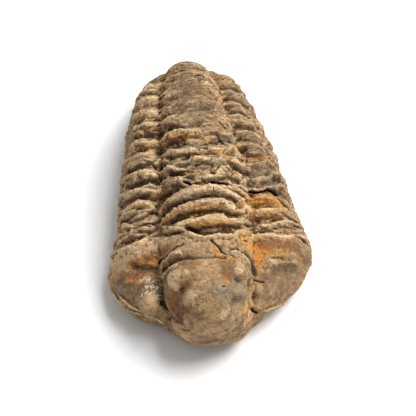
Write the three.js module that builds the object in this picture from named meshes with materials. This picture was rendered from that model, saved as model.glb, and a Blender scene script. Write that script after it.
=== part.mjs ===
// A calymenid trilobite turned to stone, free of its rock and lying on its belly: one piece.
// Millimetres, +Z up, the head towards -Y and the tail towards +Y.
//
// The back is a shield laid over five long lines: the crest, the two furrows beside the raised
// middle lobe, and the two edges. Rows cross it from edge to edge, and bend with the head, the
// thirteen rings and the tail. Relief is then raised along the shield's own normals. The belly
// closes it below, down to the small flat spot that the stone rests on.
import * as THREE from 'three';
import { mergeGeometries, mergeVertices } from 'three/addons/utils/BufferGeometryUtils.js';

// Driving dimensions
const LENGTH = 84;
const HEAD_WIDTH = 46;
const HEIGHT = 24;
const RINGS = 13;
const SPOT_LENGTH = 46; // the flat spot underneath
const SPOT_WIDTH = 21;

// How finely the back is divided
const HEAD_ROWS = 21;
const TAIL_ROWS = 13;
const LOBE_STEPS = 7;
const SIDE_STEPS = 11;
const RING_PHASES = [0, 0.13, 0.38, 0.66, 0.89]; // 0 is the furrow before a ring, and 1 the one behind it

// The long lines are drawn in shares of the half length, the half width and the height, station
// by station: under the snout, snout, brow, top of the glabella, neck furrow, back of the head,
// two stations on the thorax, its end, and three on the tail.
const half = LENGTH / 2;
const halfWidth = HEAD_WIDTH / 2;
const HEAD_END = 5; // stations where the head ends and the tail starts
const HEAD_BACK = 4.95; // the ledge at the back of the head, just before the first ring
const THORAX_END = 8; // as drawn in the lines below
const TAIL_START = 8.3; // where the last, wider rings reach to
const RIBS_FROM = HEAD_END - 1.2; // the cheeks turn to ribs from here
const RIBS_WHOLE = HEAD_END + 0.3; // to here

function line(...stations) {
  const points = stations.map(([x, y, z]) => new THREE.Vector3(x * halfWidth, y * half, z * HEIGHT));
  return new THREE.CatmullRomCurve3(points, false, 'catmullrom', 0.5);
}

const crest = line(
  [-0.1, -0.925, 0.12], [-0.1, -0.98, 0.28], [-0.11, -1.005, 0.52], [-0.1, -0.89, 0.79],
  [-0.07, -0.655, 0.83], [-0.04, -0.462, 0.81], [-0.01, -0.11, 0.97], [-0.04, 0.347, 0.97],
  [-0.03, 0.82, 0.66], [-0.03, 0.92, 0.42], [-0.02, 0.975, 0.23], [-0.01, 1, 0.1]);

const leftFurrow = line(
  [-0.33, -0.855, 0.11], [-0.4, -0.85, 0.23], [-0.47, -0.8, 0.38], [-0.49, -0.7, 0.5],
  [-0.48, -0.535, 0.54], [-0.47, -0.395, 0.58], [-0.42, -0.07, 0.735], [-0.37, 0.41, 0.74],
  [-0.28, 0.83, 0.5], [-0.22, 0.91, 0.3], [-0.15, 0.965, 0.17], [-0.08, 0.99, 0.09]);

const rightFurrow = line(
  [0.22, -0.88, 0.11], [0.3, -0.875, 0.23], [0.33, -0.825, 0.38], [0.34, -0.735, 0.5],
  [0.38, -0.57, 0.54], [0.4, -0.41, 0.58], [0.4, -0.085, 0.74], [0.3, 0.375, 0.74],
  [0.2, 0.825, 0.5], [0.16, 0.91, 0.3], [0.1, 0.965, 0.17], [0.05, 0.99, 0.09]);

const leftEdge = line(
  [-0.49, -0.805, 0.12], [-0.61, -0.78, 0.13], [-0.81, -0.7, 0.14], [-0.96, -0.585, 0.15],
  [-1, -0.46, 0.15], [-0.96, -0.37, 0.15], [-0.84, -0.01, 0.15], [-0.735, 0.465, 0.15],
  [-0.53, 0.825, 0.13], [-0.43, 0.905, 0.12], [-0.29, 0.96, 0.1], [-0.14, 0.988, 0.09]);

const rightEdge = line(
  [0.36, -0.815, 0.12], [0.44, -0.76, 0.13], [0.62, -0.72, 0.14], [0.83, -0.615, 0.15],
  [0.96, -0.49, 0.15], [1, -0.425, 0.15], [0.855, -0.015, 0.15], [0.7, 0.435, 0.15],
  [0.49, 0.825, 0.13], [0.4, 0.905, 0.12], [0.27, 0.96, 0.1], [0.13, 0.988, 0.09]);
const LAST = crest.points.length - 1;

// From the furrow out to the edge, in shares of the width and the drop: cheek, then ribs
const cheek = profile([0, 1], [0.2, 1.02], [0.42, 0.96], [0.66, 0.76], [0.86, 0.46], [0.98, 0.16], [1, 0]);
const rib = profile(
  [0, 1], [0.18, 1.05], [0.4, 1.03], [0.63, 0.9], [0.84, 0.63], [0.96, 0.32], [1, 0.1], [0.985, 0]);

function profile(...points) {
  return new THREE.SplineCurve(points.map(([x, y]) => new THREE.Vector2(x, y)));
}

const { clamp, lerp, smoothstep } = THREE.MathUtils;
const LOBE_SHARE = LOBE_STEPS / (LOBE_STEPS + SIDE_STEPS); // the raised middle lobe's share of a row

// A steady wobble from -1 to 1, so that no two rings are alike
function wobble(x, seed) {
  return 0.6 * Math.sin(0.31 * x + 2.4 * seed) + 0.4 * Math.sin(0.83 * x + 4.1 * seed + 1.3);
}

// One point of the smooth shield. station runs from 0 to LAST, and across from -1 to 1.
function shield(station, across) {
  const t = clamp(station / LAST, 0, 1);
  const [valleys, rims] = across < 0 ? [leftFurrow, leftEdge] : [rightFurrow, rightEdge];
  const [top, valley, rim] = [crest.getPoint(t), valleys.getPoint(t), rims.getPoint(t)];
  const out = Math.abs(across);
  if (out <= LOBE_SHARE) {
    const turn = (out / LOBE_SHARE) * (Math.PI / 2);
    return new THREE.Vector3(
      lerp(top.x, valley.x, Math.sin(turn)),
      lerp(top.y, valley.y, 1 - Math.cos(turn)),
      lerp(valley.z, top.z, Math.cos(turn) ** 1.3));
  }
  const along = (out - LOBE_SHARE) / (1 - LOBE_SHARE);
  const isRib = smoothstep(station, RIBS_FROM, RIBS_WHOLE);
  const shape = cheek.getPointAt(along).lerp(rib.getPointAt(along), isRib);
  return new THREE.Vector3(
    lerp(valley.x, rim.x, shape.x),
    lerp(valley.y, rim.y, along ** 1.3),
    lerp(rim.z, valley.z, shape.y));
}

// A smooth round lump: 1 at its middle and 0 at its edge
function lump(x, y, { at, size }) {
  const away = ((x - at[0]) / size[0]) ** 2 + ((y - at[1]) / size[1]) ** 2;
  return away < 1 ? (1 - away) ** 2 : 0;
}

// Lumps and hollows of the head, and those of the damaged rings: middle, half sizes in plan, and height
const HEAD_LUMPS = [
  { name: 'glabella, front lobe', at: [-1.8, -38.5], size: [10, 7], height: 1.1 },
  { name: 'rear lobe, left', at: [-7.8, -30.2], size: [4.4, 4.2], height: 1.9 },
  { name: 'rear lobe, right', at: [5.2, -29.4], size: [4, 4.2], height: 1.5 },
  { name: 'middle lobe, left', at: [-5.2, -36.6], size: [3.2, 3], height: 0.9 },
  { name: 'middle lobe, right', at: [4.4, -35.2], size: [3.2, 3], height: 0.8 },
  { name: 'hollow between the left lobes', at: [-8.6, -35.2], size: [4, 2.8], height: -1.6 },
  { name: 'hollow between the right lobes', at: [5.6, -32.6], size: [3.4, 2.4], height: -0.8 },
  { name: 'eye, left', at: [-14.3, -31.6], size: [3.6, 3.2], height: 1.8 },
  { name: 'eye, right', at: [10.9, -31], size: [3.2, 3.2], height: 1.6 },
  { name: 'neck furrow', at: [-1.7, -25.4], size: [11, 2.2], height: -1.7 },
  { name: 'furrow behind the left cheek', at: [-14.6, -24], size: [7.5, 2.8], height: -1.8 },
  { name: 'furrow behind the right cheek', at: [15, -25.2], size: [8.5, 3.4], height: -1.7 },
  { name: 'rear border, left', at: [-14.5, -18.6], size: [10, 3.6], height: 1.1 },
  { name: 'rear border, right', at: [15, -19.6], size: [9.5, 3.4], height: 0.9 },
  { name: 'dent in the back edge', at: [-1.6, -19.5], size: [4, 3.4], height: -1 },
];
const RING_LUMPS = [
  { name: 'front rings, humped', at: [0.6, -10.5], size: [10, 11], height: 2 },
  { name: 'front rings, sunk on the left', at: [-10.4, -10], size: [3.6, 9], height: -1.3 },
  { name: 'hole', at: [-0.2, 1.4], size: [2.4, 2], height: -1.6 },
  { name: 'broken ledge, left', at: [-6, -1.2], size: [3.6, 2.4], height: 1 },
  { name: 'broken hollow, left', at: [-4, -4.6], size: [4.4, 2.2], height: -1.4 },
  { name: 'broken ledge, right', at: [5, -2.4], size: [4, 2.2], height: 1 },
  { name: 'broken hollow, right', at: [4.6, 2.8], size: [3.6, 2.2], height: -0.9 },
  { name: 'sunk middle', at: [-1, -5.2], size: [3, 2.2], height: -0.8 },
];

const RING_HEIGHT = 1.5;
const RING_CREST = 0.66; // where a ring is highest, in shares of its length
const RING_LEVEL = 0.6; // the share of a ring's height that lies below the smooth shield
const FURROW_WIDTH = 0.07; // of the two long furrows, in shares of half a row
const FURROW_DEPTH = 0.4;
const PIT_DEPTH = 0.5; // where a ring's furrow meets a long furrow
const WORN_RINGS = [6.5, 9]; // the middle lobe is rubbed down, more and more between these rings
const UNEVEN = 0.18; // how much the rings' heights differ
const CRACKED_RING = 3; // the furrow before it is a deep crack, from the lobe's left side to the right edge
const CRACK_DEPTH = 0.9;
const CRACK_START = [-0.35, -0.1]; // it deepens between these places across the back

// A ring climbs gently from the furrow before it, and drops sharply to the one behind it.
function ringProfile(phase) {
  if (phase < RING_CREST) return Math.sin((phase / RING_CREST) * (Math.PI / 2)) ** 1.1;
  return 1 - ((phase - RING_CREST) / (1 - RING_CREST)) ** 2.4;
}

function ringRelief(number, phase, across, x) {
  const nearFurrow = Math.exp(-(((Math.abs(across) - LOBE_SHARE) / FURROW_WIDTH) ** 2));
  const onLobe = 1 - smoothstep(Math.abs(across), LOBE_SHARE * 0.7, LOBE_SHARE);
  const worn = onLobe * smoothstep(number, ...WORN_RINGS);
  const height = RING_HEIGHT * (1 - 0.6 * nearFurrow) * (1 - 0.6 * worn) * (1 + UNEVEN * wobble(x, number));
  const pit = phase === 0 ? PIT_DEPTH * nearFurrow : 0;
  const cracked = number === CRACKED_RING && phase === 0;
  const crack = cracked ? CRACK_DEPTH * smoothstep(across, ...CRACK_START) : 0;
  return height * (ringProfile(phase) - RING_LEVEL) - FURROW_DEPTH * nearFurrow - pit - crack;
}

const TAIL_RIBS = 6;
const TAIL_RIB_HEIGHT = 0.35;
const LUMPS_FROM = [5, 9]; // the lumps fade out between these heights, and don't reach down the walls

// How far the back stands out from the smooth shield at a row and a place across it
function relief(row, across, point) {
  const { x, y, z } = point;
  let height = 0.22 * wobble(x + 0.7 * y, 3) + 0.14 * wobble(1.6 * x - y, 8);
  const onTop = smoothstep(z, ...LUMPS_FROM);
  const lumps = row.station < HEAD_END ? HEAD_LUMPS : RING_LUMPS;
  for (const mark of lumps) height += mark.height * lump(x, y, mark) * onTop;
  if (row.ring !== undefined) height += ringRelief(row.ring, row.phase, across, x);
  if (row.station > TAIL_START) {
    const share = (row.station - TAIL_START) / (LAST - TAIL_START);
    height -= TAIL_RIB_HEIGHT * (1 - smoothstep(share, 0.6, 1)) * Math.cos(2 * Math.PI * TAIL_RIBS * share);
  }
  return height;
}

// The rings widen towards the tail, by the share of the way along them.
function ringStation(share) {
  return HEAD_END + (THORAX_END - HEAD_END) * share + (TAIL_START - THORAX_END) * share ** 5;
}

// Rows from the snout to the tip of the tail
function rowList() {
  const rows = [];
  for (let i = 0; i < HEAD_ROWS; i++) rows.push({ station: (i / (HEAD_ROWS - 1)) * HEAD_BACK });
  for (let ring = 0; ring < RINGS; ring++) {
    for (const phase of RING_PHASES) {
      rows.push({ station: ringStation((ring + phase) / RINGS), ring, phase });
    }
  }
  for (let i = 0; i <= TAIL_ROWS; i++) rows.push({ station: lerp(TAIL_START, LAST, i / TAIL_ROWS) });
  return rows;
}

const rows = rowList();
const columns = 2 * (LOBE_STEPS + SIDE_STEPS);
// Turns the relief upwards, so that it doesn't cross itself in the furrows
const LIFT = new THREE.Vector3(0, 0, 0.5);

const ASIDE = 0.02; // how far off the shield's slope is measured, in stations and across

function surfacePoint(row, across) {
  const point = shield(row.station, across);
  const leftOf = shield(row.station, Math.max(across - ASIDE, -1));
  const over = shield(row.station, Math.min(across + ASIDE, 1)).sub(leftOf);
  const before = shield(Math.max(row.station - ASIDE, 0), across);
  const along = shield(Math.min(row.station + ASIDE, LAST), across).sub(before);
  const outwards = over.cross(along).normalize().add(LIFT).normalize();
  return point.addScaledVector(outwards, relief(row, across, point));
}

const grid = rows.map((row) =>
  Array.from({ length: columns + 1 }, (_, i) => surfacePoint(row, (2 * i) / columns - 1)));

function meshOf(points, faces) {
  const geometry = new THREE.BufferGeometry().setFromPoints(points);
  geometry.setIndex(faces);
  return geometry;
}

function back() {
  const faces = [];
  const wide = columns + 1;
  for (let r = 0; r + 1 < rows.length; r++) {
    for (let c = 0; c < columns; c++) {
      const [a, b] = [r * wide + c, r * wide + c + 1];
      const [d, e] = [a + wide, b + wide];
      const onRightCheek = c >= columns / 2 && rows[r].station < HEAD_END; // its facets mirror the left one's
      if (onRightCheek) faces.push(a, b, d, b, e, d);
      else faces.push(a, b, e, a, e, d);
    }
  }
  return meshOf(grid.flat(), faces);
}

// The belly draws in from the edge of the back to the flat spot, in loops of the same count that
// start in the middle of the snout and run past the right edge. Each loop has the share of the way
// inwards and the share of the way down.
const BELLY_LOOPS = [[0, 0], [0.25, 0.42], [0.62, 0.83], [1, 1]];

function belly() {
  const [first, last, centre] = [grid[0], grid[grid.length - 1], columns / 2];
  const rim = [
    ...first.slice(centre, columns),
    ...grid.map((row) => row[columns]),
    ...last.slice(1, columns).reverse(),
    ...grid.map((row) => row[0]).reverse(),
    ...first.slice(1, centre),
  ];
  const count = rim.length;
  const spot = new THREE.EllipseCurve(0, 0, SPOT_WIDTH / 2, SPOT_LENGTH / 2, -Math.PI / 2, 1.5 * Math.PI);
  const walked = rim.reduce((sums, p, i) => [...sums, sums[i] + p.distanceTo(rim[(i + 1) % count])], [0]);
  const inner = rim.map((p, i) => spot.getPointAt(walked[i] / walked[count]));
  const loops = BELLY_LOOPS.map(([inwards, down]) =>
    rim.map((p, i) => new THREE.Vector3(
      lerp(p.x, inner[i].x, inwards), lerp(p.y, inner[i].y, inwards), lerp(p.z, 0, down))));
  const faces = [];
  for (let loop = 0; loop + 1 < loops.length; loop++) {
    for (let i = 0; i < count; i++) {
      const [a, b] = [loop * count + i, loop * count + ((i + 1) % count)];
      faces.push(a, a + count, b, b, a + count, b + count);
    }
  }
  const start = (loops.length - 1) * count;
  const cap = THREE.ShapeUtils.triangulateShape(inner, []);
  for (const [a, b, c] of cap) faces.push(start + a, start + c, start + b);
  return meshOf(loops.flat(), faces);
}

const stone = mergeVertices(mergeGeometries([back(), belly()]), 1e-3);
stone.computeBoundingBox();
const middle = stone.boundingBox.getCenter(new THREE.Vector3());
stone.translate(-middle.x, -middle.y, -stone.boundingBox.min.z);
stone.computeVertexNormals();

const limestone = new THREE.MeshStandardMaterial({ color: 0x8f7654, roughness: 0.9, metalness: 0 });
const fossil = new THREE.Mesh(stone, limestone);
fossil.name = 'trilobite';

const part = new THREE.Group();
part.add(fossil);
export default part;
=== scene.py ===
import math
import bpy
import numpy as np
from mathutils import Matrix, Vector, noise
from mathutils.bvhtree import BVHTree


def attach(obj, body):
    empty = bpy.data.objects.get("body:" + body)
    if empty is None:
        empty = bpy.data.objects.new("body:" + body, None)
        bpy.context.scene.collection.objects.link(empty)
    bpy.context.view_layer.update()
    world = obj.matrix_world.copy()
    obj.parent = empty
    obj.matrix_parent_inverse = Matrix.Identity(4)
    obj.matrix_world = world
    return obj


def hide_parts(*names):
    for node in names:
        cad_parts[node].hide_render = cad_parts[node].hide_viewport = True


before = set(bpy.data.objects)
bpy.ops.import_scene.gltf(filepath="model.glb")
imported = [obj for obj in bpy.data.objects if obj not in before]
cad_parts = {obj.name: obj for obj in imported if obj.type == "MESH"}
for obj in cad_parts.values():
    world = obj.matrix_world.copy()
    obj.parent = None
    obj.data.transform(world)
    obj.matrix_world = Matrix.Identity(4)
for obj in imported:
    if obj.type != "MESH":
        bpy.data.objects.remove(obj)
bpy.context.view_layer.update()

# The view of the photograph: from in front of the head and about 50 degrees above the table,
# through a long lens. The cracks and stains further down are laid on the stone through this
# camera, from their pixels in the photograph.
MM = 0.001
IMAGE_SIZE = 416
IMAGE_MIDDLE = IMAGE_SIZE / 2
VIEW_TURN, VIEW_HEIGHT = math.radians(-5), math.radians(50)
VIEW_DISTANCE = 400 * MM
VIEW_CENTRE = Vector((0.5, -7, 12)) * MM
LENS, SENSOR = 154, 36

towards_camera = Vector((
    math.sin(VIEW_TURN) * math.cos(VIEW_HEIGHT),
    -math.cos(VIEW_TURN) * math.cos(VIEW_HEIGHT),
    math.sin(VIEW_HEIGHT)))
bpy.ops.object.camera_add(location=VIEW_CENTRE + VIEW_DISTANCE * towards_camera)
camera = bpy.context.object
camera.name = "camera"
camera.rotation_euler = (-towards_camera).to_track_quat("-Z", "Y").to_euler()
camera.data.lens = LENS
camera.data.sensor_width = SENSOR
camera.data.clip_start = 0.01
bpy.context.scene.camera = camera
bpy.context.view_layer.update()
camera_turn = np.array(camera.matrix_world.to_3x3())
camera_place = np.array(camera.matrix_world.translation)
PIXELS = LENS / SENSOR * IMAGE_SIZE


def pixels_of(points):
    """Where points of the scene fall in the photograph"""
    across, up, back = ((points - camera_place) @ camera_turn).T
    return np.stack([IMAGE_MIDDLE - PIXELS * across / back, IMAGE_MIDDLE + PIXELS * up / back], axis=1)


# The stone: the fossil's whole body, shell and filling turned to one piece of limestone. Its
# faceted form is smoothed into a round one, and cut into even small faces, fine enough to take
# the cracks and the grain.
FACE_SIZE = 0.23 * MM
QUAD_ANGLE = math.radians(60)

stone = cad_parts["trilobite"].copy()
stone.data = stone.data.copy()
stone.name = "fossil_stone"
bpy.context.scene.collection.objects.link(stone)
bpy.ops.object.select_all(action="DESELECT")
bpy.context.view_layer.objects.active = stone
stone.select_set(True)
bpy.ops.object.mode_set(mode="EDIT")
bpy.ops.mesh.select_all(action="SELECT")
bpy.ops.mesh.remove_doubles(threshold=0.001 * MM)
bpy.ops.mesh.tris_convert_to_quads(face_threshold=QUAD_ANGLE, shape_threshold=QUAD_ANGLE)
bpy.ops.object.mode_set(mode="OBJECT")
rounding = stone.modifiers.new("rounding", "SUBSURF")
rounding.levels = rounding.render_levels = 2
bpy.ops.object.modifier_apply(modifier=rounding.name)
faces = stone.modifiers.new("even faces", "REMESH")
faces.mode = "VOXEL"
faces.voxel_size = FACE_SIZE
bpy.ops.object.modifier_apply(modifier=faces.name)


def read(what):
    """Three numbers for each point of the stone: its place or its normal"""
    values = np.zeros(len(stone.data.vertices) * 3, np.float32)
    stone.data.vertices.foreach_get(what, values)
    return values.reshape(-1, 3).astype(float)


def spread(values, times, keep=0.0):
    """Evens out what each point holds with its neighbours, a number of times"""
    for _ in range(times):
        total = np.zeros_like(values)
        for k in range(values.shape[1]):
            total[:, k] = np.bincount(here, values[there, k], len(values))
        values = keep * values + (1 - keep) * total / links[:, None]
    return values


ends = np.zeros(len(stone.data.edges) * 2, np.int32)
stone.data.edges.foreach_get("vertices", ends)
ends = ends.reshape(-1, 2)
here, there = np.concatenate([ends, ends[:, ::-1]]).T
links = np.bincount(here)

points = spread(read("co"), 3, keep=0.3)
stone.data.vertices.foreach_set("co", points.astype(np.float32).ravel())
stone.data.update()
outwards = spread(read("normal"), 4) + np.array((0, 0, 0.35))
outwards /= np.linalg.norm(outwards, axis=1)[:, None]
bare_stone = BVHTree.FromObject(stone, bpy.context.evaluated_depsgraph_get())
start = points.copy()


def fractal(size, seed, octaves=4, squash=(1, 1, 1)):
    """Cloudy values from about -1 to 1 over the stone, in lumps of that size"""
    where = start * np.array(squash) / size + 37.7 * seed
    return np.array([noise.fractal(p, 1.0, 2.0, octaves, noise_basis="PERLIN_NEW") for p in where])


def steps(values, low, high):
    """0 below low, 1 above high, and smooth between them"""
    share = np.clip((values - low) / (high - low), 0, 1)
    return share * share * (3 - 2 * share)


on_picture = pixels_of(points)
waver = fractal(1.6 * MM, 1, octaves=3)
crinkle = fractal(0.7 * MM, 2, octaves=3)


def line_on_stone(pixels, every=1.2):
    """Points on the stone along a row of pixels, and the pixel of each"""
    spots, places = [], []
    for (ax, ay), (bx, by) in zip(pixels, pixels[1:] or pixels):
        count = max(1, round(math.hypot(bx - ax, by - ay) / every))
        for i in range(count):
            share = i / count
            px, py = ax + (bx - ax) * share, ay + (by - ay) * share
            away = camera_turn @ np.array((px - IMAGE_MIDDLE, IMAGE_MIDDLE - py, -PIXELS))
            hit = bare_stone.ray_cast(Vector(camera_place), Vector(away).normalized())[0]
            if hit:
                spots.append(hit)
                places.append((px, py))
    return np.array(spots), np.array(places)


def near(pixels, width, lean=0.0):
    """The stone's points within a width of a row of pixels, and how far off they are, from 0 to 1.
    With a lean, a point before the row counts as nearer to it than one behind it."""
    spots, places = line_on_stone(pixels)
    reach = width / (1 - lean)
    low, high = spots.min(0) - reach, spots.max(0) + reach
    inside = np.flatnonzero(((start > low) & (start < high)).all(1))
    away = np.full(len(inside), 9.0)
    for spot, place in zip(spots, places):
        offset = on_picture[inside] - place
        forward = offset[:, 1] / (np.linalg.norm(offset, axis=1) + 0.5)
        away = np.minimum(away, np.linalg.norm(start[inside] - spot, axis=1) * (1 - lean * forward))
    away /= width
    return inside[away < 1], away[away < 1]


def raise_along(pixels, width, height, sharpness=1.0, rough=0.35, lean=0.0):
    """Raises a ridge along a row of pixels, or sinks a furrow where the height is below 0"""
    which, away = near(pixels, width * (1 + rough), lean)
    away = away * (1 + rough) / (1 + rough * waver[which])
    form = np.clip(1 - away ** 2, 0, 1) ** sharpness
    lift[which] += height * form * (1 + 0.5 * rough * crinkle[which])


def paint_along(stain, pixels, width, amount):
    """Stains the stone along a row of pixels, most in the middle"""
    which, away = near(pixels, width * 1.9)
    laid = amount * np.clip(1.25 * (1 - away) ** 1.2 + 0.3 * waver[which] * (1 - away), 0, 1)
    painted = stains.setdefault(stain, np.zeros(len(points)))
    painted[which] = np.maximum(painted[which], laid)


lift = np.zeros(len(points))
stains = {}


def flaked(values, count):
    """Smooth values cut into flat steps with steep edges"""
    level = values * count
    return (np.floor(level) + steps(level - np.floor(level), 0.72, 1)) / count


def broken_plates(size, seed, squash, tilt):
    """Flat tilted plates with gaps between them: their height, and how near the closest gap is"""
    height, gap = np.zeros(len(start)), np.zeros(len(start))
    lean = np.random.default_rng(seed).uniform(-1, 1, (997, 4))
    for i, p in enumerate(start * np.array(squash) / size + 51.3 * seed):
        distances, centres = noise.voronoi(p)
        middle = centres[0]
        pick = lean[int(abs(middle[0] * 131 + middle[1] * 517 + middle[2] * 911)) % len(lean)]
        height[i] = 0.4 * pick[3] + tilt * sum(pick[k] * (p[k] - middle[k]) for k in range(3))
        gap[i] = distances[1] - distances[0]
    return height, gap


# The sides and the neck, where the stone runs further in or out than the plain form. Each has its
# pixels, its radius and its height.
FLANKS = {
    "right side, rear": (
        [(252, 112), (258, 121), (262, 130), (266, 140), (270, 150), (274, 159)], 5.2, -1.3),
    "left side, rear": ([(133, 106), (130, 122), (127, 140), (124, 158), (122, 176)], 4.4, -0.5),
    "right corner": ([(302, 236), (306, 246), (307, 256)], 3.4, 0.8),
    "rear shoulder, left": ([(150, 79), (156, 76)], 4.0, -1.4),
    "chin, left": ([(141, 318), (148, 322), (155, 325), (162, 329)], 3.6, -1.4),
    "chin, right": ([(260, 317), (256, 324), (252, 330)], 2.6, -1.0),
    "crease beside the neck, left": ([(161, 233), (161, 241), (162, 249)], 1.8, 0.7),
    "crease beside the neck, right": ([(249, 240), (247, 247), (250, 255)], 2.2, 0.8),
    "rear shoulder, right": ([(222, 73), (226, 73), (230, 76)], 3.6, -1.5),
}
for pixels, radius, height in FLANKS.values():
    raise_along(pixels, radius * MM, height * MM, sharpness=1.6, rough=0.1)
sides_lift = lift.copy()

# Wear and breakage: the rings in the middle of the back are broken into plates, which lie more
# or less level; the other rings are flaked in layers, and all is dented and grained, least on the
# glabella. A stretch begins and ends over a few pixels or millimetres.
BROKEN_STARTS, BROKEN_ENDS = (122, 142), (178, 192)
RINGS_START, RINGS_END = (-20 * MM, -16 * MM), (30 * MM, 38 * MM)
TABLE_FADE = (2 * MM, 6 * MM)
GLABELLA_MIDDLE, GLABELLA_REACH = (210, 294), (38, 44)
PLATE_SIZE, PLATE_HEIGHT, LOW_PLATE_HEIGHT = 4.2 * MM, 0.4 * MM, 0.08 * MM
DENT_SIZE, DENT_DEPTH = 4.5 * MM, 0.25 * MM
LAYER_SIZE, LAYER_HEIGHT, MORE_ON_RINGS = 1.3 * MM, 0.08 * MM, 0.10 * MM
FLAKE_SIZE, FLAKE_HEIGHT, FLAKE_STEPS = 2.2 * MM, 0.34 * MM, 4
GRAIN_SIZE, GRAIN_HEIGHT, CRINKLE_HEIGHT = 0.45 * MM, 0.07 * MM, 0.09 * MM

glabella = 1 - steps(np.linalg.norm((on_picture - GLABELLA_MIDDLE) / GLABELLA_REACH, axis=1), 0.75, 1.1)
middle_back = steps(on_picture[:, 1], *BROKEN_STARTS) * (1 - steps(on_picture[:, 1], *BROKEN_ENDS))
on_rings = steps(start[:, 1], *RINGS_START) * (1 - steps(start[:, 1], *RINGS_END))
above_table = steps(start[:, 2], *TABLE_FADE)
plate, gap = broken_plates(PLATE_SIZE, 4, (0.62, 1, 0.8), 1.0)
low_plates = (1 - middle_back) * on_rings
lift += PLATE_HEIGHT * middle_back * above_table * (plate - 0.7 * np.exp(-(gap / 0.06) ** 2))
lift += LOW_PLATE_HEIGHT * low_plates * above_table * (plate - 0.5 * np.exp(-(gap / 0.07) ** 2))
lift += DENT_DEPTH * (0.6 + 0.4 * on_rings) * fractal(DENT_SIZE, 5, octaves=3)
layers = fractal(LAYER_SIZE, 6, octaves=4, squash=(0.3, 1.5, 1.2))
lift += (LAYER_HEIGHT + MORE_ON_RINGS * on_rings) * layers
flakes = flaked(fractal(FLAKE_SIZE, 8, octaves=5, squash=(0.35, 1.5, 1.2)), FLAKE_STEPS)
lift += FLAKE_HEIGHT * flakes * on_rings * above_table
fine_grain = fractal(GRAIN_SIZE, 7, octaves=2)
lift += (CRINKLE_HEIGHT * crinkle + GRAIN_HEIGHT * fine_grain) * (1 - 0.5 * glabella)

# Lobes of the head, each a low round lump: its pixel, its radius and its height.
LOBES = {
    "rear lobe, left": ((174, 279), 3.0, 0.9),
    "rear lobe, right": ((240, 269), 2.8, 0.7),
    "middle lobe, left": ((188, 300), 2.6, 0.55),
    "middle lobe, right": ((236, 291), 2.4, 0.5),
    "front lobe": ((212, 318), 6.5, 0.5),
    "hollow between the left lobes": ((181, 289), 1.8, -0.35),
    "hollow before the left lobes": ((177, 308), 2.8, -0.55),
    "hollow between the right lobes": ((238, 279), 1.8, -0.5),
    "eye, left": ((150, 302), 2.3, 1.1),
    "eye, right": ((258, 290), 2.0, 1.0),
    "swelling behind the right eye": ((276, 265), 3.2, 0.6),
    "rear corner, left": ((140, 252), 4.0, 0.6),
    "neck ring, left": ((176, 254), 2.6, 0.7),
    "neck ring, right": ((232, 247), 2.6, 0.7),
    "front corner, left": ((124, 284), 3.4, 0.4),
}
for at, radius, height in LOBES.values():
    raise_along([at], radius * MM, height * MM, sharpness=1.6, rough=0.1)

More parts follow.
